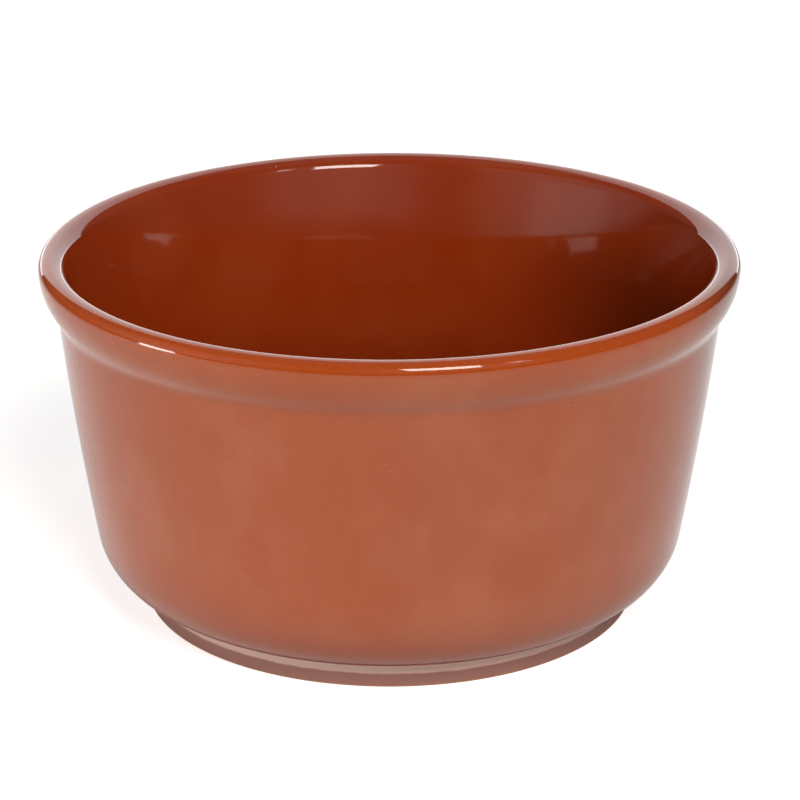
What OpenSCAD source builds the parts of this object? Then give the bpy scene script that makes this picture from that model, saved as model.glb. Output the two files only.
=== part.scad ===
// Deep round serving bowl of glazed red clay, thrown and fired as one piece.
// It stands on its foot ring at z = 0 and is turned about the Z axis. Sizes are in millimetres.

/* [Bowl] */
// Outer diameter at the widest place, which is the rolled rim
rim_d = 150; // [120:1:220]
// Height from the table to the crest of the lip
height = 79; // [60:0.5:110]

/* [Rim] */
// Radius of the lip's round top and outer side
lip_r = 2.4; // [1.5:0.1:2.7]
// Width of the lip, from its widest place to the line of the flared inner wall
lip_w = 5.9; // [5.5:0.1:7.5]
// Radius of the shoulder between the lip and the inner wall
shoulder_r = 5; // [4.5:0.1:10]
// Radius of the band's bulge under the lip
band_r = 13; // [11:0.1:18]
// Height of the band, from the crest down to the wall
band_h = 11.5; // [8:0.1:12]
// Radius of the soft hollow where the band meets the wall
hollow_r = 5.4; // [0.5:0.1:8]

/* [Wall] */
// Lean of the outer wall from the vertical at its top, in degrees
wall_lean = 6; // [4:0.1:12]
// Radius of the wall's slight belly, seen in section
belly_r = 800; // [500:10:1200]
// Radius of the outer corner between the wall and the underside
corner_r = 14; // [9:0.5:20]
// Wall thickness, measured level, where the wall meets the lower corner
wall_t = 6; // [5:0.1:7.5]
// Lean of the inner wall's straight lower part from the vertical, in degrees
inner_lean = 7.5; // [5:0.1:9.5]
// Height over which the inner wall flares out towards the lip, down from the crest
flare_h = 31; // [20:0.5:45]
// Radius of the inner corner between the wall and the floor
inner_corner_r = 14; // [6:0.5:20]
// Thickness of the floor over the recess
floor_t = 5; // [3:0.1:8]

/* [Foot] */
// How far the foot ring's outer face is set in from the lower end of the wall
foot_inset = 10.6; // [7:0.1:14]
// Width of the foot ring where it stands on the table
foot_w = 6.5; // [4:0.1:12]
// Height of the underside of the body above the table
foot_h = 4.8; // [2.5:0.1:8]
// Depth of the recess inside the foot ring
recess_h = 3; // [1.5:0.1:5]
// Radius of the worn edges of the foot ring
foot_edge_r = 0.6; // [0.2:0.1:1]
// Radius of the hollow where the foot meets the body
foot_hollow_r = 0.7; // [0.3:0.1:1.5]
// Radius of the hollow in the corner of the recess
recess_hollow_r = 1.5; // [0.5:0.1:2]

/* [Hidden] */
$fn = 256;
// How far a slice reaches back over its chord, so that it overlaps and never only touches
lap = 0.3;

// Points are [distance from the axis, height].
function unit(v) = v / norm(v);
// The point at distance d from p, on the way to q
function toward(p, q, d) = p + d * unit(q - p);
// The point at height z that lies at distance d from p, on the side away from the axis
function out_at(p, d, z) = [p[0] + sqrt(d * d - (z - p[1]) * (z - p[1])), z];
// The point at distance d1 from p and d2 from q, on the right of the way from p to q (side = 1)
// or on its left (side = -1)
function meet(p, d1, q, d2, side) =
    let (s = norm(q - p), u = unit(q - p), a = (s * s + d1 * d1 - d2 * d2) / (2 * s))
    p + a * u + side * sqrt(d1 * d1 - a * a) * [u[1], -u[0]];

rim_r = rim_d / 2;
floor_z = recess_h + floor_t;

// Lip and band, which share their tangent at the widest place
widest = [rim_r, height - lip_r];
lip_c = widest - [lip_r, 0];
band_c = widest - [band_r, 0];

// Wall, from the band's lower edge down to the corner
wall_top = out_at(band_c, band_r, height - band_h);
wall_c = wall_top - belly_r * [cos(wall_lean), -sin(wall_lean)];
hollow_c = meet(band_c, band_r + hollow_r, wall_c, belly_r + hollow_r, -1);
hollow_top = toward(band_c, hollow_c, band_r);
hollow_end = toward(wall_c, hollow_c, belly_r);
corner_c = out_at(wall_c, belly_r - corner_r, foot_h + corner_r);
wall_end = toward(wall_c, corner_c, belly_r);

// Foot, set under the corner
foot_r = wall_end[0] - foot_inset;
foot_in_r = foot_r - foot_w;
foot_hollow_c =
    let (x = foot_r + foot_hollow_r, d = corner_r + foot_hollow_r)
    [x, corner_c[1] - sqrt(d * d - (x - corner_c[0]) * (x - corner_c[0]))];
corner_end = toward(corner_c, foot_hollow_c, corner_r);

// Inner wall: a straight line, and an arc that carries it on in a flare to the lip
inner_up = [sin(inner_lean), cos(inner_lean)];
inner_n = [-cos(inner_lean), sin(inner_lean)];
inner_foot = wall_end - [wall_t, 0];
inner_top = widest - [lip_w, 0];
flare_end = inner_foot + (height - flare_h - inner_foot[1]) / inner_up[1] * inner_up;
flare_reach = inner_top - flare_end;
flare_r = flare_reach * flare_reach / (2 * flare_reach * -inner_n);
flare_c = flare_end - flare_r * inner_n;
shoulder_c = meet(lip_c, shoulder_r - lip_r, flare_c, flare_r - shoulder_r, 1);
lip_end = toward(shoulder_c, lip_c, shoulder_r);
shoulder_end = toward(flare_c, shoulder_c, flare_r);
inner_corner_c =
    let (z = floor_z + inner_corner_r, run = (z - inner_foot[1]) / inner_up[1])
    [inner_foot[0] + run * inner_up[0] + inner_corner_r / inner_n[0], z];
inner_end = inner_corner_c - inner_corner_r * inner_n;

// Slice of the circle about c that lies outside the chord from p to q, and the lap inside it
module slice(c, r, p, q) {
    side = (q - p)[0] * (c - p)[1] - (q - p)[1] * (c - p)[0] > 0 ? 1 : -1;
    away = side * unit([(q - p)[1], -(q - p)[0]]);
    intersection() {
        translate(c) circle(r);
        polygon([p - lap * away, q - lap * away, q + r * away, p + r * away]);
    }
}

// Wedge of the circle about c between the radii to p and to q, which a hollow takes away
module wedge(c, r, p, q) {
    intersection() {
        translate(c) circle(r);
        polygon([c, 2 * p - c, 2 * q - c]);
    }
}

// Section of the clay, from the axis outwards
module section() {
    difference() {
        union() {
            polygon([
                [0, recess_h],
                [foot_in_r - recess_hollow_r, recess_h],
                [foot_in_r, recess_h - recess_hollow_r],
                [foot_in_r, foot_edge_r],
                [foot_in_r + foot_edge_r, 0],
                [foot_r - foot_edge_r, 0],
                [foot_r, foot_edge_r],
                [foot_r, foot_hollow_c[1]],
                corner_end,
                wall_end,
                hollow_end,
                hollow_top,
                widest,
                lip_end,
                shoulder_end,
                flare_end,
                inner_end,
                [inner_corner_c[0], floor_z],
                [0, floor_z]
            ]);
            slice(corner_c, corner_r, corner_end, wall_end);
            slice(wall_c, belly_r, wall_end, hollow_end);
            slice(band_c, band_r, hollow_top, widest);
            slice(lip_c, lip_r, widest, lip_end);
            slice(shoulder_c, shoulder_r, lip_end, shoulder_end);
            slice(flare_c, flare_r, shoulder_end, flare_end);
            for (x = [foot_in_r + foot_edge_r, foot_r - foot_edge_r]) {
                edge = x < foot_r - foot_w / 2 ? foot_in_r : foot_r;
                slice([x, foot_edge_r], foot_edge_r, [x, 0], [edge, foot_edge_r]);
            }
        }
        wedge(foot_hollow_c, foot_hollow_r, [foot_r, foot_hollow_c[1]], corner_end);
        wedge(hollow_c, hollow_r, hollow_end, hollow_top);
        wedge(inner_corner_c, inner_corner_r, inner_end, [inner_corner_c[0], floor_z]);
        wedge(
            [foot_in_r - recess_hollow_r, recess_h - recess_hollow_r],
            recess_hollow_r,
            [foot_in_r - recess_hollow_r, recess_h],
            [foot_in_r, recess_h - recess_hollow_r]
        );
    }
}

// The whole bowl: one turned piece of clay under a red-brown glaze
module bowl() {
    color([0.62, 0.30, 0.19])
        rotate_extrude(angle = 360)
            section();
}

bowl();
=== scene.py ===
from math import atan2, ceil, cos, pi, radians, sin, sqrt, tau
from types import SimpleNamespace

import bpy
from bpy.props import FloatProperty, FloatVectorProperty, IntProperty, PointerProperty
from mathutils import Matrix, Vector


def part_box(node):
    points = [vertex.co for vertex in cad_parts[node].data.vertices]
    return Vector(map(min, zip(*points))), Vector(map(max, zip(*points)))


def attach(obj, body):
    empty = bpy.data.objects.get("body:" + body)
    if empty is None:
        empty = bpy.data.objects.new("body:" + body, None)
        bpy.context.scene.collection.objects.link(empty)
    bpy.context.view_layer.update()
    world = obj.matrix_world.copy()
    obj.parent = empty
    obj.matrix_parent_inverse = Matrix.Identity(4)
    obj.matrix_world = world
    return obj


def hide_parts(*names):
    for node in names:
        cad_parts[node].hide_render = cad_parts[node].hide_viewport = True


bl_info = {
    "name": "Deep Glazed Bowl",
    "version": (1, 0, 0),
    "blender": (4, 5, 0),
    "location": "3D View > Sidebar > Bowl",
    "description": "Turns a deep glazed clay bowl, glazes it and sets it in a plain studio",
    "category": "Add Mesh",
}

BODY = "root"
CLAY_NODE = "bowl"
MM = 0.001
BLACK = (0, 0, 0)
WHITE = (1, 1, 1)
GLAZE_IOR = 1.5
# Share of the flare, from the crest down, in which the middle of the wall leans further out
FLARE_MASK_SHARE = 0.42
CLIP_START = 0.01
# A soft edge round 1, for a height or a distance that is given as a share of its limit
SOFT_EDGE = (1.3, 0.7)
# Places of the Mix node's sockets when it mixes colours
MIX_FACTOR, MIX_FIRST, MIX_SECOND, MIX_RESULT = 0, 6, 7, 2

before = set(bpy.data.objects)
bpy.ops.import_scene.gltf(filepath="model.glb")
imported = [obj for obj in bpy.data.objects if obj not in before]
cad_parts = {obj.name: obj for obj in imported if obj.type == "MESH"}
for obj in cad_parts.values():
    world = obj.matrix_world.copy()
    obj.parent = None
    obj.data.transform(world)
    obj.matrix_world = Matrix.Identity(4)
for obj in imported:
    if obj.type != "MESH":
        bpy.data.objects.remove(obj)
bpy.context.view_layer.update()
CLAY_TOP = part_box(CLAY_NODE)[1]


def length(name, text, millimetres):
    """A size that the user can change, in metres, with its default in millimetres."""
    return FloatProperty(name=name, description=text, default=millimetres * MM, min=0, unit="LENGTH")


def angle(name, text, degrees):
    """An angle that the user can change, with its default in degrees."""
    return FloatProperty(name=name, description=text, default=radians(degrees), subtype="ANGLE")


def colour(name, text, red, green, blue):
    """A linear colour that the user can change."""
    return FloatVectorProperty(
        name=name, description=text, default=(red, green, blue), min=0, max=1, subtype="COLOR"
    )


def share(name, text, default):
    """A factor from 0 to 1 that the user can change."""
    return FloatProperty(name=name, description=text, default=default, min=0, max=1, subtype="FACTOR")


def radiance(name, text, default):
    """The brightness of a light that the user can change."""
    return FloatProperty(name=name, description=text, default=default, min=0, max=50)


class BowlShape(bpy.types.PropertyGroup):
    """Sizes of the turned bowl."""

    rim_radius: length("Rim Radius", "Radius at the widest place", CLAY_TOP.x / MM)
    height: length("Height", "From the table to the crest of the lip", CLAY_TOP.z / MM)
    lip_radius: length("Lip Radius", "Radius of the lip's round top and outer side", 2.4)
    lip_width: length("Lip Width", "From the widest place to the line of the inner wall", 5.9)
    shoulder_radius: length("Shoulder Radius", "Between the lip and the inner wall", 3.7)
    band_radius: length("Band Radius", "Radius of the band's bulge under the lip", 13)
    band_height: length("Band Height", "From the crest down to the wall", 11.5)
    hollow_radius: length("Hollow Radius", "Hollow where the band meets the wall", 5.4)
    wall_lean: angle("Wall Lean", "Lean of the outer wall from the vertical at its top", 6)
    belly_radius: length("Belly Radius", "Radius of the wall's slight belly", 800)
    corner_radius: length("Corner Radius", "Outer corner between wall and underside", 14)
    wall_thickness: length("Wall Thickness", "Measured level at the lower corner", 6)
    inner_lean: angle("Inner Lean", "Lean of the inner wall's straight part from the vertical", 7.5)
    flare_height: length("Flare Height", "From the crest down to where the inner wall flares", 31)
    inner_corner_radius: length("Inner Corner Radius", "Between the wall and the floor", 14)
    floor_thickness: length("Floor Thickness", "Floor over the recess", 5)
    foot_inset: length("Foot Inset", "Foot ring's face in from the wall's lower end", 10.6)
    foot_width: length("Foot Width", "Width of the foot ring on the table", 6.5)
    foot_height: length("Foot Height", "Underside of the body above the table", 4.8)
    foot_edge_radius: length("Foot Edge Radius", "Worn edges of the foot ring", 0.6)
    foot_hollow_radius: length("Foot Hollow Radius", "Glaze in the corner over the foot", 1.5)
    recess_height: length("Recess Height", "Depth of the recess inside the foot ring", 3)
    recess_hollow_radius: length("Recess Hollow Radius", "Hollow in the recess's corner", 1.5)
    rim_sag: length("Rim Sag", "How far the rim's left side stands lower than its right", 0.5)
    unevenness: length("Unevenness", "Depth of the faint waves left by turning", 0.05)
    steps_around: IntProperty(
        name="Steps Around", description="Faces in one turn", default=288, min=24, max=720
    )


class GlazeLook(bpy.types.PropertyGroup):
    """Colours and finish of the glaze and the clay, and colours of painted shade."""

    glaze: colour("Glaze", "Red-brown glaze on the outer wall", 0.43, 0.091, 0.024)
    rose: colour("Rose Clouds", "Paler and pinker clouds in the glaze", 0.47, 0.120, 0.045)
    thin: colour("Thin Glaze", "Thinner glaze in the runs", 0.42, 0.075, 0.018)
    run_cover: share("Run Cover", "How far the runs hide the glaze", 0.35)
    deep: colour("Deep Glaze", "Thicker glaze inside the bowl", 0.325, 0.035, 0.005)
    inner_clouds: share("Inner Clouds", "How far thinner glaze clouds the inside", 0.25)
    lip: colour("Lip Glaze", "Glaze that has run thin over the lip", 0.44, 0.066, 0.008)
    undercut_shade: colour("Undercut Shade", "Painted shade where the wall turns under", 0.30, 0.085, 0.050)
    undercut_cover: share("Undercut Cover", "How far that painted shade hides the glaze", 0.7)
    pale_band: colour("Pale Band", "Pale greyish pink band over the top of the foot ring", 0.75, 0.56, 0.50)
    pale_band_cover: share("Pale Band Cover", "How far the pale band hides the glaze", 0.85)
    foot_face_shade: colour("Foot Face Shade", "Painted shade and painted reflection on the face of the foot ring", 0.34, 0.16, 0.13)
    clay: colour("Bare Clay", "Bare clay under the foot", 0.50, 0.24, 0.11)
    inside_painted_shade: share("Inside Painted Shade", "How much painted shade darkens the inside on its right and in its depths", 0.65)
    outside_painted_shade: share("Outside Painted Shade", "How much painted shade darkens the right side of the outside", 0.5)
    speckle: share("Speckle", "Strength of the fine specks", 0.3)
    roughness: share("Roughness", "Roughness of the glaze", 0.06)
    dry_roughness: share("Dry Roughness", "Added where clay shows and on the foot ring's face", 0.5)


class StudioLook(bpy.types.PropertyGroup):
    """Camera and light of the plain studio."""

    camera_distance: length("Camera Distance", "From the middle of the bowl", 675)
    camera_elevation: angle("Camera Elevation", "Angle of the camera above the table", 20.96)
    camera_lens: FloatProperty(
        name="Focal Length", description="On a 36 mm sensor", default=138.67, unit="CAMERA"
    )
    shift_right: FloatProperty(
        name="Shift Right", description="The view moved right, as a share of it", default=0.0132
    )
    shift_up: FloatProperty(
        name="Shift Up", description="The view moved up, as a share of it", default=0.0324
    )
    aim_height: length("Aim Height", "Height of the point that the camera faces", 37.5)
    floor_colour: colour("Floor", "Colour of the white paper", 0.9, 0.9, 0.9)
    floor_lift: share("Floor Lift", "Added to the paper where the camera sees it", 0.72)
    floor_mirrored_glow: share("Floor Mirrored Glow", "Glow added to the paper where the glaze mirrors it", 0.5)
    table_back: length("Table Back", "From the bowl to the back and the right of the table", 3000)
    table_front: length("Table Front", "From the bowl to the front edge of the table", 320)
    table_left: length("Table Left", "From the bowl to the left edge of the table", 3000)
    key: radiance("Key", "Radiance of the softbox at the front right", 17)
    key_colour: colour("Key Colour", "Colour of the softbox", 1.0, 0.96, 0.90)
    back: radiance("Back Panel", "Radiance of the wide panel behind the bowl", 1.4)
    strip: radiance("Back Strip", "Radiance of the low strip in front of that panel", 1.3)
    top: radiance("Top Panel", "Radiance of the panel above the bowl", 0.15)
    left: radiance("Left Lamp", "Radiance of the small lamp at the left", 17)
    room: radiance("Room", "Radiance of the dim room", 0.12)
    front_glow: radiance("Front Glow", "Radiance of the soft glow in front", 0.35)
    left_glow: radiance("Left Glow", "Radiance of the soft glow at the left", 0.4)


def toward(start, goal, distance):
    """The point at a distance from start, on the way to goal."""
    return start + distance * (goal - start).normalized()


def out_at(centre, distance, height):
    """The point at a height that lies at a distance from centre, away from the axis."""
    return Vector((centre.x + sqrt(distance**2 - (height - centre.y) ** 2), height))


def meet(centre_a, distance_a, centre_b, distance_b, side):
    """The point at both distances, to the right (1) or the left (-1) of the way from a to b."""
    gap = centre_b - centre_a
    along = (gap.length_squared + distance_a**2 - distance_b**2) / (2 * gap.length)
    unit = gap.normalized()
    out = side * sqrt(distance_a**2 - along**2)
    return centre_a + along * unit + out * Vector((unit.y, -unit.x))


def line(start, end, steps):
    """Points from start up to but without end."""
    return [start.lerp(end, i / steps) for i in range(steps)]


def arc(centre, start, end, degrees=4.0):
    """Points on the short way round centre, up to but without end, about so many degrees apart."""
    first = atan2(start.y - centre.y, start.x - centre.x)
    turn = atan2(end.y - centre.y, end.x - centre.x) - first
    turn = (turn + pi) % tau - pi
    steps = max(2, ceil(abs(turn) / radians(degrees)))
    radius = (start - centre).length
    angles = [first + turn * i / steps for i in range(steps)]
    return [centre + radius * Vector((cos(a), sin(a))) for a in angles]


def marks(shape):
    """Named points of the bowl's section, as (distance from the axis, height).

    A name ends in _c for the centre of an arc, _r for a distance from the axis or a radius, _n
    for the way straight out of the inner wall, and _x or _z for one part of a place.
    """
    floor_z = shape.recess_height + shape.floor_thickness
    widest = Vector((shape.rim_radius, shape.height - shape.lip_radius))
    lip_c = widest - Vector((shape.lip_radius, 0))
    band_c = widest - Vector((shape.band_radius, 0))

    wall_top = out_at(band_c, shape.band_radius, shape.height - shape.band_height)
    wall_c = wall_top - shape.belly_radius * Vector((cos(shape.wall_lean), -sin(shape.wall_lean)))
    hollow_c = meet(
        band_c,
        shape.band_radius + shape.hollow_radius,
        wall_c,
        shape.belly_radius + shape.hollow_radius,
        side=-1,
    )
    corner_z = shape.foot_height + shape.corner_radius
    corner_c = out_at(wall_c, shape.belly_radius - shape.corner_radius, corner_z)
    wall_end = toward(wall_c, corner_c, shape.belly_radius)

    foot_r = wall_end.x - shape.foot_inset
    hollow_x = foot_r + shape.foot_hollow_radius
    reach = shape.corner_radius + shape.foot_hollow_radius
    hollow_z = corner_c.y - sqrt(reach**2 - (hollow_x - corner_c.x) ** 2)
    foot_hollow_c = Vector((hollow_x, hollow_z))

    inner_up = Vector((sin(shape.inner_lean), cos(shape.inner_lean)))
    inner_n = Vector((-cos(shape.inner_lean), sin(shape.inner_lean)))
    inner_foot = wall_end - Vector((shape.wall_thickness, 0))
    inner_top = widest - Vector((shape.lip_width, 0))
    flare_z = shape.height - shape.flare_height
    flare_end = inner_foot + (flare_z - inner_foot.y) / inner_up.y * inner_up
    flare_reach = inner_top - flare_end
    flare_r = flare_reach.length_squared / (2 * flare_reach.dot(-inner_n))
    flare_c = flare_end - flare_r * inner_n
    shoulder_c = meet(
        lip_c,
        shape.shoulder_radius - shape.lip_radius,
        flare_c,
        flare_r - shape.shoulder_radius,
        side=1,
    )
    inner_z = floor_z + shape.inner_corner_radius
    inner_x = inner_foot.x + (inner_z - inner_foot.y) / inner_up.y * inner_up.x
    inner_corner_c = Vector((inner_x + shape.inner_corner_radius / inner_n.x, inner_z))

    return SimpleNamespace(
        floor_z=floor_z,
        foot_r=foot_r,
        foot_in_r=foot_r - shape.foot_width,
        foot_hollow_c=foot_hollow_c,
        corner_c=corner_c,
        corner_end=toward(corner_c, foot_hollow_c, shape.corner_radius),
        wall_end=wall_end,
        wall_c=wall_c,
        hollow_end=toward(wall_c, hollow_c, shape.belly_radius),
        hollow_c=hollow_c,
        hollow_top=toward(band_c, hollow_c, shape.band_radius),
        band_c=band_c,
        widest=widest,
        lip_c=lip_c,
        lip_end=toward(shoulder_c, lip_c, shape.shoulder_radius),
        shoulder_c=shoulder_c,
        shoulder_end=toward(flare_c, shoulder_c, flare_r),
        flare_c=flare_c,
        flare_end=flare_end,
        inner_up=inner_up,
        inner_end=inner_corner_c - shape.inner_corner_radius * inner_n,
        inner_corner_c=inner_corner_c,
    )


def section(shape):
    """The clay's outline as points (distance from the axis, height), from the recess to the floor."""
    mark = marks(shape)
    edge = shape.foot_edge_radius
    side, down = Vector((edge, 0)), Vector((0, edge))
    recess = shape.recess_hollow_radius
    recess_c = Vector((mark.foot_in_r - recess, shape.recess_height - recess))
    recess_top = recess_c + Vector((0, recess))
    recess_side = recess_c + Vector((recess, 0))
    ring_in = Vector((mark.foot_in_r + edge, edge))
    ring_out = Vector((mark.foot_r - edge, edge))
    ring_top = Vector((mark.foot_r, mark.foot_hollow_c.y))
    floor_end = Vector((mark.inner_corner_c.x, mark.floor_z))
    middle = Vector((0, mark.floor_z))
    return (
        line(Vector((0, shape.recess_height)), recess_top, steps=8)
        + arc(recess_c, recess_top, recess_side, degrees=12)
        + line(recess_side, ring_in - side, steps=2)
        + arc(ring_in, ring_in - side, ring_in - down, degrees=15)
        + line(ring_in - down, ring_out - down, steps=5)
        + arc(ring_out, ring_out - down, ring_out + side, degrees=15)
        + line(ring_out + side, ring_top, steps=8)
        + arc(mark.foot_hollow_c, ring_top, mark.corner_end, degrees=8)
        + arc(mark.corner_c, mark.corner_end, mark.wall_end)
        + arc(mark.wall_c, mark.wall_end, mark.hollow_end, degrees=0.1)
        + arc(mark.hollow_c, mark.hollow_end, mark.hollow_top)
        + arc(mark.band_c, mark.hollow_top, mark.widest, degrees=3)
        + arc(mark.lip_c, mark.widest, mark.lip_end)
        + arc(mark.shoulder_c, mark.lip_end, mark.shoulder_end)
        + arc(mark.flare_c, mark.shoulder_end, mark.flare_end, degrees=0.8)
        + line(mark.flare_end, mark.inner_end, steps=14)
        + arc(mark.inner_corner_c, mark.inner_end, floor_end)
        + line(floor_end, middle, steps=16)
        + [middle]
    )


class Tree:
    """Adds nodes to a node tree and joins their sockets, with plain numbers set on the sockets."""

    def __init__(self, tree):
        self.tree = tree

    def node(self, kind, inputs=None, **settings):
        """A new node with these settings, and with its inputs joined or set."""
        made = self.tree.nodes.new(kind)
        for name, value in settings.items():
            setattr(made, name, value)
        for name, value in (inputs or {}).items():
            self.set(made.inputs[name], value)
        return made

    def set(self, socket, value):
        """Joins a socket to another one or to a node's first output, or gives it a plain value."""
        if isinstance(value, bpy.types.NodeSocket):
            self.tree.links.new(value, socket)
        elif isinstance(value, bpy.types.Node):
            self.tree.links.new(value.outputs[0], socket)
        elif socket.type == "RGBA" and len(value) == 3:
            socket.default_value = (*value, 1)
        else:
            socket.default_value = value

    def math(self, operation, *values):
        """The result of one operation on plain values."""
        return self.node("ShaderNodeMath", dict(enumerate(values)), operation=operation).outputs[0]

    def add(self, first, *others):
        """The sum of two or more values."""
        for other in others:
            first = self.math("ADD", first, other)
        return first

    def minus(self, first, second):
        """The first value less the second."""
        return self.math("SUBTRACT", first, second)

    def times(self, first, *others):
        """The product of two or more values."""
        for other in others:
            first = self.math("MULTIPLY", first, other)
        return first

    def over(self, first, second):
        """The first value divided by the second."""
        return self.math("DIVIDE", first, second)

    def vector(self, operation, *values):
        """The result of one operation on vectors, which is a vector or a plain value."""
        made = self.node("ShaderNodeVectorMath", dict(enumerate(values)), operation=operation)
        return made.outputs["Value" if operation in {"LENGTH", "DOT_PRODUCT"} else "Vector"]

    def split(self, vector):
        """The X, Y and Z of a vector."""
        parts = self.node("ShaderNodeSeparateXYZ", {"Vector": vector}).outputs
        return parts["X"], parts["Y"], parts["Z"]

    def join(self, x=0.0, y=0.0, z=0.0):
        """A vector made of its X, Y and Z."""
        return self.node("ShaderNodeCombineXYZ", {"X": x, "Y": y, "Z": z}).outputs[0]

    def ramp(self, value, low, high, start=0.0, end=1.0):
        """A soft step: start at low, end at high, and level beyond them."""
        return self.node(
            "ShaderNodeMapRange",
            {"Value": value, "From Min": low, "From Max": high, "To Min": start, "To Max": end},
            interpolation_type="SMOOTHSTEP",
        ).outputs["Result"]

    def mix(self, factor, first, second):
        """The first colour, turning into the second as the factor goes from 0 to 1."""
        inputs = {MIX_FACTOR: factor, MIX_FIRST: first, MIX_SECOND: second}
        return self.node("ShaderNodeMix", inputs, data_type="RGBA").outputs[MIX_RESULT]

    def noise(self, place, size, detail=2.0, roughness=0.5):
        """Smooth random values between 0 and 1, with lumps of about this size."""
        return self.node(
            "ShaderNodeTexNoise",
            {"Vector": place, "Scale": self.over(1.0, size), "Detail": detail, "Roughness": roughness},
        ).outputs[0]

    def place(self):
        """The shaded point in the piece's own space, in metres."""
        return self.node("ShaderNodeTexCoord").outputs["Object"]

    def use(self, group, **values):
        """The outputs of a node group, with its inputs set by name."""
        made = self.node("ShaderNodeGroup", node_tree=group)
        for name, value in values.items():
            self.set(made.inputs[name.replace("_", " ").title()], value)
        return made.outputs


def cleared(data):
    """A tree helper for the emptied nodes of a material or a world."""
    data.use_nodes = True
    data.node_tree.nodes.clear()
    return Tree(data.node_tree)


def group_tree(name, kind, inputs, outputs):
    """A new node group with these sockets: its tree helper, its input values and its results."""
    tree = bpy.data.node_groups.new(name, kind)
    for socket_name, socket_kind, default in inputs:
        socket = tree.interface.new_socket(socket_name, in_out="INPUT", socket_type=socket_kind)
        if default is not None:
            socket.default_value = default
    for socket_name, socket_kind in outputs:
        tree.interface.new_socket(socket_name, in_out="OUTPUT", socket_type=socket_kind)
    t = Tree(tree)
    return t, t.node("NodeGroupInput").outputs, t.node("NodeGroupOutput").inputs


def value_group(name, inputs, outputs):
    """A new shader node group whose sockets are all plain values."""
    return group_tree(
        name,
        "ShaderNodeTree",
        [(socket_name, "NodeSocketFloat", default) for socket_name, default in inputs.items()],
        [(socket_name, "NodeSocketFloat") for socket_name in outputs],
    )


def turning_tree():
    """Geometry Nodes that turn a section round the Z axis, sag the rim and add faint waves."""
    t, value, result = group_tree(
        "Turn on the Wheel",
        "GeometryNodeTree",
        [
            ("Section", "NodeSocketGeometry", None),
            ("Steps Around", "NodeSocketInt", 288),
            ("Rim Radius", "NodeSocketFloat", 75 * MM),
            ("Rim Height", "NodeSocketFloat", 79 * MM),
            ("Rim Sag", "NodeSocketFloat", 0.5 * MM),
            ("Unevenness", "NodeSocketFloat", 0.05 * MM),
            ("Wave Length", "NodeSocketFloat", 20 * MM),
            ("Seed", "NodeSocketFloat", 3.0),
            ("Seam Distance", "NodeSocketFloat", 0.002 * MM),
            ("Glaze", "NodeSocketMaterial", None),
        ],
        [("Geometry", "NodeSocketGeometry")],
    )

    # A grid with a row for each point of the section and a column for each step of the turn;
    # its last column comes round to the first, and the two are merged
    count = t.node(
        "GeometryNodeAttributeDomainSize", {"Geometry": value["Section"]}, component="MESH"
    ).outputs["Point Count"]
    columns = t.add(value["Steps Around"], 1)
    grid = t.node("GeometryNodeMeshGrid", {"Vertices X": columns, "Vertices Y": count})
    index = t.node("GeometryNodeInputIndex").outputs[0]
    column = t.math("FLOOR", t.over(t.add(index, 0.5), count))
    row = t.minus(index, t.times(column, count))
    point = t.node(
        "GeometryNodeSampleIndex",
        {"Geometry": value["Section"], "Index": row},
        data_type="FLOAT_VECTOR",
        domain="POINT",
    )
    t.set(point.inputs["Value"], t.node("GeometryNodeInputPosition"))
    turn = t.times(column, t.over(tau, value["Steps Around"]))
    turned = t.node(
        "ShaderNodeVectorRotate",
        {"Vector": point.outputs["Value"], "Angle": turn, "Axis": (0, 0, 1)},
        rotation_type="AXIS_ANGLE",
    )
    shell = t.node("GeometryNodeSetPosition", {"Geometry": grid, "Position": turned})
    shell = t.node(
        "GeometryNodeMergeByDistance", {"Geometry": shell, "Distance": value["Seam Distance"]}
    )

    # The rim's left side sags, and turning leaves waves; both fade towards the foot
    place = t.node("GeometryNodeInputPosition").outputs[0]
    x, _, z = t.split(place)
    level = t.over(z, value["Rim Height"])
    leftness = t.minus(0.5, t.over(x, t.times(2.0, value["Rim Radius"])))
    sag = t.times(t.times(leftness, level), t.times(level, value["Rim Sag"]))
    waves = t.node(
        "ShaderNodeTexNoise",
        {
            "Vector": t.vector("DIVIDE", place, value["Wave Length"]),
            "W": value["Seed"],
            "Scale": 1.0,
            "Detail": 1.0,
        },
        noise_dimensions="4D",
    ).outputs[0]
    inset = t.times(waves, level, value["Unevenness"], -1.0)
    inwards = t.node(
        "ShaderNodeVectorMath",
        {0: t.node("GeometryNodeInputNormal"), "Scale": inset},
        operation="SCALE",
    )
    offset = t.vector("SUBTRACT", inwards, t.join(z=sag))
    shell = t.node("GeometryNodeSetPosition", {"Geometry": shell, "Offset": offset})

    shell = t.node("GeometryNodeSetShadeSmooth", {"Geometry": shell})
    shell = t.node("GeometryNodeRealizeInstances", {"Geometry": shell})
    shell = t.node("GeometryNodeSetMaterial", {"Geometry": shell, "Material": value["Glaze"]})
    t.set(result["Geometry"], shell)
    return t.tree


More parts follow.
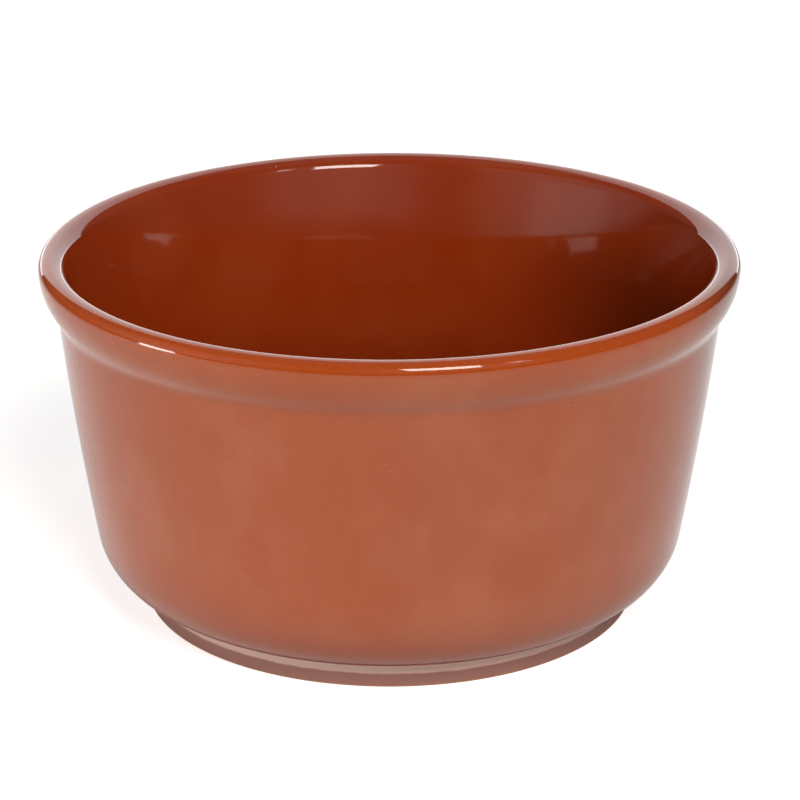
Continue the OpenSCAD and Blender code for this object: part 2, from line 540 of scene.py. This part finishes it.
def places_group():
    """Masks for the parts of the bowl that the glaze covers in its own way, and for painted shade."""
    t, value, result = value_group(
        "Places on the Bowl",
        {
            "Rim Height": 79 * MM,
            "Lip Depth": 3 * MM,
            "Middle Radius": 62.3 * MM,
            "Middle Height": 19.9 * MM,
            "Wall Slope": 0.15,
            "Flare Height": 13 * MM,
            "Flare Slope": 0.2,
            "Floor Height": 8 * MM,
            "Foot Radius": 53.6 * MM,
            "Foot Height": 4.8 * MM,
        },
        ("Inside", "Lip", "Pale Band Mask", "Undercut", "Foot Face", "Bare", "Inside Painted Shade", "Outside Painted Shade"),
    )
    place = t.place()
    x, y, height = t.split(place)
    radius = t.vector("LENGTH", t.join(x, y))
    drop = t.minus(value["Rim Height"], height)
    past_foot = t.minus(radius, value["Foot Radius"])

    # The inside lies within the middle of the wall, which leans out and more so in the flare
    rise = t.minus(height, value["Middle Height"])
    flare = t.math("MAXIMUM", t.minus(value["Flare Height"], drop), 0.0)
    middle = t.add(
        value["Middle Radius"],
        t.times(rise, value["Wall Slope"]),
        t.times(flare, value["Flare Slope"]),
    )
    inward = t.ramp(t.minus(middle, radius), -0.6 * MM, 0.6 * MM)
    above_base = t.ramp(t.minus(height, value["Floor Height"]), -2 * MM, -1 * MM)
    inside = t.times(inward, above_base)
    outside = t.minus(1.0, inside)
    t.set(result["Inside"], inside)

    # The edges of the lip, of the levels over the foot and of the bare clay wander up and down
    wander = t.noise(place, 4 * MM)
    lip_level = t.over(t.add(drop, t.times(wander, 0.4 * MM)), value["Lip Depth"])
    t.set(result["Lip"], t.times(t.ramp(lip_level, *SOFT_EDGE), outside))

    # Levels are shares of the foot's height: painted shade on its face, the pale band on top, and the
    # undercut
    level = t.over(t.add(height, t.times(wander, 0.5 * MM)), value["Foot Height"])
    face_end, pale_start, pale_fade, pale_end = 0.62, 0.76, 1.08, 1.18
    under_start, under_full, under_fade, under_end = 1.0, 1.1, 1.5, 5.2
    on_ring = t.times(t.ramp(past_foot, 2.2 * MM, 1.2 * MM), outside)
    # A pale greyish pink band round the top of the foot ring, just under the wall
    pale_band_mask = t.times(t.ramp(level, face_end, pale_start), t.ramp(level, pale_end, pale_fade))
    t.set(result["Pale Band Mask"], t.times(pale_band_mask, on_ring))
    # Painted shade and painted reflection on the foot ring's face
    t.set(result["Foot Face"], t.times(t.ramp(level, pale_start, face_end), on_ring))
    # Painted shade where the wall turns under towards the table, fading out up the wall
    fading = t.ramp(level, under_end, under_fade)
    under = t.times(fading, t.ramp(level, under_start, under_full))
    t.set(result["Undercut"], t.times(under, outside))

    # Clay is bare where the ring stands on the table and in the recess within it
    low = t.ramp(t.add(height, t.times(wander, 0.7 * MM)), 1.0 * MM, 0.6 * MM)
    within_ring = t.ramp(past_foot, -0.6 * MM, -1.2 * MM)
    beneath = t.times(within_ring, t.minus(1.0, above_base))
    t.set(result["Bare"], t.math("MAXIMUM", low, beneath))

    # Painted shade: the inside is darkened on its right and in its depths, and the outside at its
    # right
    dark_way = (0.97, -0.24, 0)
    aside = t.over(t.vector("DOT_PRODUCT", place, dark_way), value["Middle Radius"])
    dark_side = t.times(t.ramp(aside, 0.1, 1.0), t.ramp(drop, 4 * MM, 24 * MM))
    depths = t.ramp(drop, 30 * MM, 60 * MM, 0.0, 0.6)
    t.set(result["Inside Painted Shade"], t.math("MAXIMUM", dark_side, depths))
    right = t.ramp(t.over(x, value["Middle Radius"]), 0.95, 1.2)
    t.set(result["Outside Painted Shade"], t.times(right, outside))
    return t.tree


def mottle_group():
    """Uneven glaze: soft clouds, faint runs down the wall and fine specks."""
    t, value, result = value_group(
        "Mottled Glaze",
        {"Cloud Size": 24 * MM, "Run Width": 6 * MM, "Run Length": 5.0, "Speck Size": 0.7 * MM},
        ("Clouds", "Runs", "Specks"),
    )
    place = t.place()
    x, y, z = t.split(place)
    squeezed = t.join(x, y, t.over(z, value["Run Length"]))
    t.set(result["Clouds"], t.noise(place, value["Cloud Size"], detail=3.0))
    t.set(result["Runs"], t.noise(squeezed, value["Run Width"]))
    t.set(result["Specks"], t.noise(place, value["Speck Size"], detail=3.0, roughness=0.65))
    return t.tree


def pinhole_group():
    """Small burst bubbles in the glaze, as a mask that is 1 in each hole."""
    t, value, result = value_group(
        "Pinholes", {"Spacing": 9 * MM, "Hole Radius": 0.22 * MM, "Share": 0.2}, ("Holes",)
    )
    cells = t.node(
        "ShaderNodeTexVoronoi",
        {"Vector": t.place(), "Scale": t.over(1.0, value["Spacing"]), "Randomness": 1.0},
        feature="F1",
    ).outputs
    reach = t.times(cells["Distance"], value["Spacing"])
    pick = t.node("ShaderNodeSeparateColor", {"Color": cells["Color"]}).outputs[0]
    hole = t.ramp(t.over(reach, value["Hole Radius"]), *SOFT_EDGE)
    t.set(result["Holes"], t.times(hole, t.math("LESS_THAN", pick, value["Share"])))
    return t.tree


def skin_group():
    """Height of the glaze's skin in metres: orange peel, fine grain and the pits of the holes."""
    t, value, result = value_group(
        "Glaze Skin",
        {
            "Peel Size": 3 * MM,
            "Peel Depth": 0.01 * MM,
            "Grain Size": 0.6 * MM,
            "Grain Depth": 0.001 * MM,
            "Holes": 0.0,
            "Hole Depth": 0.08 * MM,
        },
        ("Height",),
    )
    place = t.place()
    peel = t.times(t.noise(place, value["Peel Size"], detail=1.0), value["Peel Depth"])
    grain = t.times(t.noise(place, value["Grain Size"]), value["Grain Depth"])
    pits = t.times(value["Holes"], value["Hole Depth"])
    t.set(result["Height"], t.minus(t.add(peel, grain), pits))
    return t.tree


def glaze_material(look, shape):
    """The glossy red-brown glaze over red clay, with painted shade and painted reflection in places.
    """
    material = bpy.data.materials.new("glossy_red_brown_glaze")
    t = cleared(material)
    mark = marks(shape)
    places = t.use(
        places_group(),
        rim_height=shape.height,
        middle_radius=mark.inner_end.x + shape.wall_thickness / 2,
        middle_height=mark.inner_end.y,
        wall_slope=mark.inner_up.x / mark.inner_up.y,
        flare_height=shape.flare_height * FLARE_MASK_SHARE,
        floor_height=mark.floor_z,
        foot_radius=mark.foot_r,
        foot_height=shape.foot_height,
    )
    mottle = t.use(mottle_group())
    clouds, runs, specks = mottle["Clouds"], mottle["Runs"], mottle["Specks"]
    holes = t.use(pinhole_group())["Holes"]
    skin = t.use(skin_group(), holes=holes)

    # The noise values between which each pattern sets in
    cloud_edge, run_edge = (0.40, 0.70), (0.42, 0.70)
    pale_edge, dark_edge = (0.52, 0.75), (0.46, 0.25)

    wall = t.mix(t.ramp(clouds, *cloud_edge), look.glaze, look.rose)
    wall = t.mix(t.ramp(runs, *run_edge, 0.0, look.run_cover), wall, look.thin)
    inside = t.mix(t.ramp(clouds, *cloud_edge, 0.0, look.inner_clouds), look.deep, look.thin)
    # Painted shade darkens the inside towards black on its right and in its depths
    inside = t.mix(t.times(places["Inside Painted Shade"], look.inside_painted_shade), inside, BLACK)

    base = t.mix(places["Inside"], wall, inside)
    base = t.mix(places["Lip"], base, look.lip)
    # Painted shade darkens the right side of the outside towards black
    base = t.mix(t.times(places["Outside Painted Shade"], look.outside_painted_shade), base, BLACK)
    pale = t.ramp(specks, *pale_edge, 0.0, look.speckle)
    base = t.mix(t.times(pale, t.minus(1.0, places["Inside"])), base, look.rose)
    base = t.mix(t.ramp(specks, *dark_edge, 0.0, look.speckle), base, look.deep)
    # Painted shade where the wall turns under towards the table
    base = t.mix(t.times(places["Undercut"], look.undercut_cover), base, look.undercut_shade)
    # A pale greyish pink band coloured round the top of the foot ring
    base = t.mix(t.times(places["Pale Band Mask"], look.pale_band_cover), base, look.pale_band)
    # Painted shade and a greyish painted reflection of the floor on the foot ring's face, which is
    # also made rougher
    base = t.mix(places["Foot Face"], base, look.foot_face_shade)
    base = t.mix(places["Bare"], base, look.clay)
    base = t.mix(holes, base, look.clay)

    dry = t.math("MAXIMUM", t.math("MAXIMUM", places["Bare"], holes), places["Foot Face"])
    rough = t.add(look.roughness, t.times(dry, look.dry_roughness))
    bump = t.node("ShaderNodeBump", {"Height": skin["Height"], "Distance": 1.0, "Strength": 1.0})
    shader = t.node(
        "ShaderNodeBsdfPrincipled",
        {"Base Color": base, "Roughness": rough, "IOR": GLAZE_IOR, "Normal": bump},
    )
    t.node("ShaderNodeOutputMaterial", {"Surface": shader})
    return material


class BOWL_OT_turn(bpy.types.Operator):
    """Turn the bowl from its section and glaze it"""

    bl_idname = "bowl.turn"
    bl_label = "Turn the Bowl"

    def execute(self, context):
        shape = context.scene.bowl_shape
        points = [(p.x, 0, p.y) for p in section(shape)]
        edges = [(i, i + 1) for i in range(len(points) - 1)]
        mesh = bpy.data.meshes.new("bowl_section")
        mesh.from_pydata(points, edges, [])
        bowl = bpy.data.objects.new("glazed_bowl", mesh)
        context.scene.collection.objects.link(bowl)

        tree = turning_tree()
        turning = bowl.modifiers.new("Turn on the Wheel", "NODES")
        turning.node_group = tree
        values = {
            "Steps Around": shape.steps_around,
            "Rim Radius": shape.rim_radius,
            "Rim Height": shape.height,
            "Rim Sag": shape.rim_sag,
            "Unevenness": shape.unevenness,
            "Glaze": glaze_material(context.scene.glaze_look, shape),
        }
        for item in tree.interface.items_tree:
            if item.in_out == "INPUT" and item.name in values:
                turning[item.identifier] = values[item.name]
        context.view_layer.update()
        depsgraph = context.evaluated_depsgraph_get()
        turned = bpy.data.meshes.new_from_object(bowl.evaluated_get(depsgraph))
        bowl.modifiers.remove(turning)
        bowl.data = turned
        turned.name = "glazed_bowl"
        bpy.data.meshes.remove(mesh)
        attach(bowl, BODY)
        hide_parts(CLAY_NODE)
        return {"FINISHED"}


def area_light(name, place, aim, size, brightness, tint=WHITE, mirrored_only=False):
    """A soft panel that the camera doesn't see; mirrored_only leaves it to shine in reflections."""
    light = bpy.data.lights.new(name, "AREA")
    light.shape = "RECTANGLE"
    light.size, light.size_y = size
    light.energy = brightness * pi * light.size * light.size_y
    light.color = tint
    panel = bpy.data.objects.new(name, light)
    panel.location = place
    panel.rotation_mode = "QUATERNION"
    panel.rotation_quaternion = (Vector(aim) - Vector(place)).to_track_quat("-Z", "Y")
    panel.visible_camera = False
    panel.visible_diffuse = not mirrored_only
    bpy.context.scene.collection.objects.link(panel)


def around(azimuth, elevation, distance):
    """A place round the bowl, with angles in degrees: azimuth 0 is the camera's side, 90 the right."""
    azimuth, elevation = radians(azimuth), radians(elevation)
    level = cos(elevation)
    return distance * Vector((sin(azimuth) * level, -cos(azimuth) * level, sin(elevation)))


def paper_material(look):
    """White paper that glows where the camera sees it and where the glaze mirrors it; it keeps the
    bowl's shadow.
    """
    material = bpy.data.materials.new("white_paper")
    t = cleared(material)
    rays = t.node("ShaderNodeLightPath").outputs
    place = t.place()
    _, depth, _ = t.split(place)
    reach = t.vector("LENGTH", place)

    # The painted glow that the glaze mirrors is brightest behind the bowl, and dark close to it and
    # far away
    behind = t.times(t.ramp(depth, -0.2, 0.2, 0.5, 1.0), look.floor_mirrored_glow)
    between = t.times(t.ramp(reach, 0.05, 0.08), t.ramp(reach, 0.8, 0.3))
    mirrored = t.times(rays["Is Glossy Ray"], t.times(behind, between))
    seen = t.times(rays["Is Camera Ray"], look.floor_lift)
    diffuse = t.node("ShaderNodeBsdfDiffuse", {"Color": look.floor_colour})
    lift = t.node("ShaderNodeEmission", {"Strength": t.add(seen, mirrored)})
    both = t.node("ShaderNodeAddShader", {0: diffuse, 1: lift})
    t.node("ShaderNodeOutputMaterial", {"Surface": both})
    return material


def studio_world(look):
    """A dim room with a soft glow in front and at the left, and plain white for the camera."""
    world = bpy.data.worlds.new("studio")
    t = cleared(world)
    x, y, up = t.split(t.node("ShaderNodeTexCoord").outputs["Generated"])
    flat = t.vector("NORMALIZE", t.join(x, y))
    front_way, left_way = (0.34, -0.94, 0), (-0.951, -0.309, 0)

    # up is the sine of a direction's elevation, and frontness and leftness are the cosines of
    # the angle between it and each way
    frontness = t.vector("DOT_PRODUCT", flat, front_way)
    front = t.times(t.ramp(frontness, 0.77, 0.98), t.ramp(up, 0.14, 0.25, 0.0, look.front_glow))
    leftness = t.vector("DOT_PRODUCT", flat, left_way)
    left = t.times(t.ramp(leftness, 0.70, 0.98), t.ramp(up, 0.07, 0.13, 0.0, look.left_glow))
    left_heart = t.times(t.ramp(leftness, 0.93, 0.995), t.ramp(up, 0.36, 0.25))
    left = t.times(left, t.add(1.0, left_heart))
    glow = t.times(t.add(front, left), t.ramp(up, 0.80, 0.62))
    room = t.ramp(up, -0.02, 0.28, 0.02, look.room)

    seen = t.node("ShaderNodeLightPath").outputs["Is Camera Ray"]
    dim = t.node("ShaderNodeBackground", {"Color": WHITE, "Strength": t.add(glow, room)})
    white = t.node("ShaderNodeBackground", {"Color": WHITE, "Strength": 1.0})
    mixed = t.node("ShaderNodeMixShader", {0: seen, 1: dim, 2: white})
    t.node("ShaderNodeOutputWorld", {"Surface": mixed})
    return world


def studio_lights(look):
    """A softbox at the front right, panels behind and above, and a small lamp at the left.

    Places, distances and sizes are in metres, and the angles in degrees.
    """
    middle = Vector((0, 0, 0.05))
    area_light(
        "key",
        place=around(azimuth=18, elevation=41, distance=1.2),
        aim=middle,
        size=(0.42, 0.38),
        brightness=look.key,
        tint=look.key_colour,
    )
    area_light(
        "key_edge",
        place=around(azimuth=45, elevation=42, distance=1.2),
        aim=middle,
        size=(0.10, 0.22),
        brightness=look.key / 4,
        tint=look.key_colour,
    )
    area_light(
        "back_panel",
        place=(0, 1.0, 0.8),
        aim=(0, 0, 0.8),
        size=(1.38, 1.6),
        brightness=look.back,
        mirrored_only=True,
    )
    area_light(
        "back_strip",
        place=(0, 0.98, 0.07),
        aim=(0, 0, 0.07),
        size=(1.35, 0.14),
        brightness=look.strip,
        mirrored_only=True,
    )
    area_light(
        "top_panel", place=(0, 0.25, 1.25), aim=middle, size=(1.2, 0.9), brightness=look.top
    )
    lamp = Vector((-0.387, -0.135, 0.042))
    area_light(
        "left_lamp",
        place=lamp,
        aim=(0, 0, lamp.z),
        size=(0.095, 0.08),
        brightness=look.left,
        tint=look.key_colour,
    )


def studio_camera(look):
    """The camera in front of the bowl."""
    camera = bpy.data.cameras.new("camera")
    camera.lens = look.camera_lens
    camera.shift_x = look.shift_right
    camera.shift_y = look.shift_up
    camera.clip_start = CLIP_START
    view = bpy.data.objects.new("camera", camera)
    aim = Vector((0, 0, look.aim_height))
    elevation = look.camera_elevation
    view.location = aim + look.camera_distance * Vector((0, -cos(elevation), sin(elevation)))
    view.rotation_mode = "QUATERNION"
    view.rotation_quaternion = (aim - view.location).to_track_quat("-Z", "Y")
    return view


class BOWL_OT_stage(bpy.types.Operator):
    """Make the floor, the soft lights and the camera"""

    bl_idname = "bowl.stage"
    bl_label = "Set the Studio"

    def execute(self, context):
        scene = context.scene
        look = scene.studio_look
        scene.view_settings.view_transform = "Standard"

        mesh = bpy.data.meshes.new("floor")
        left, front, far = -look.table_left, -look.table_front, look.table_back
        corners = [(left, front, 0), (far, front, 0), (far, far, 0), (left, far, 0)]
        mesh.from_pydata(corners, [], [(0, 1, 2, 3)])
        floor = bpy.data.objects.new("floor", mesh)
        scene.collection.objects.link(floor)
        mesh.materials.append(paper_material(look))

        scene.world = studio_world(look)
        studio_lights(look)
        view = studio_camera(look)
        scene.collection.objects.link(view)
        scene.camera = view
        return {"FINISHED"}


class BOWL_PT_sidebar(bpy.types.Panel):
    """Sizes, colours and buttons of the bowl"""

    bl_idname = "BOWL_PT_sidebar"
    bl_label = "Deep Glazed Bowl"
    bl_space_type = "VIEW_3D"
    bl_region_type = "UI"
    bl_category = "Bowl"

    def draw(self, context):
        for group in (context.scene.bowl_shape, context.scene.glaze_look, context.scene.studio_look):
            box = self.layout.box()
            for name in group.__annotations__:
                box.prop(group, name)
        self.layout.operator(BOWL_OT_turn.bl_idname)
        self.layout.operator(BOWL_OT_stage.bl_idname)


CLASSES = (BowlShape, GlazeLook, StudioLook, BOWL_OT_turn, BOWL_OT_stage, BOWL_PT_sidebar)


def register():
    for cls in CLASSES:
        bpy.utils.register_class(cls)
    bpy.types.Scene.bowl_shape = PointerProperty(type=BowlShape)
    bpy.types.Scene.glaze_look = PointerProperty(type=GlazeLook)
    bpy.types.Scene.studio_look = PointerProperty(type=StudioLook)


def unregister():
    del bpy.types.Scene.studio_look
    del bpy.types.Scene.glaze_look
    del bpy.types.Scene.bowl_shape
    for cls in reversed(CLASSES):
        bpy.utils.unregister_class(cls)


def main():
    register()
    bpy.ops.bowl.turn()
    bpy.ops.bowl.stage()


if __name__ == "__main__":
    main()
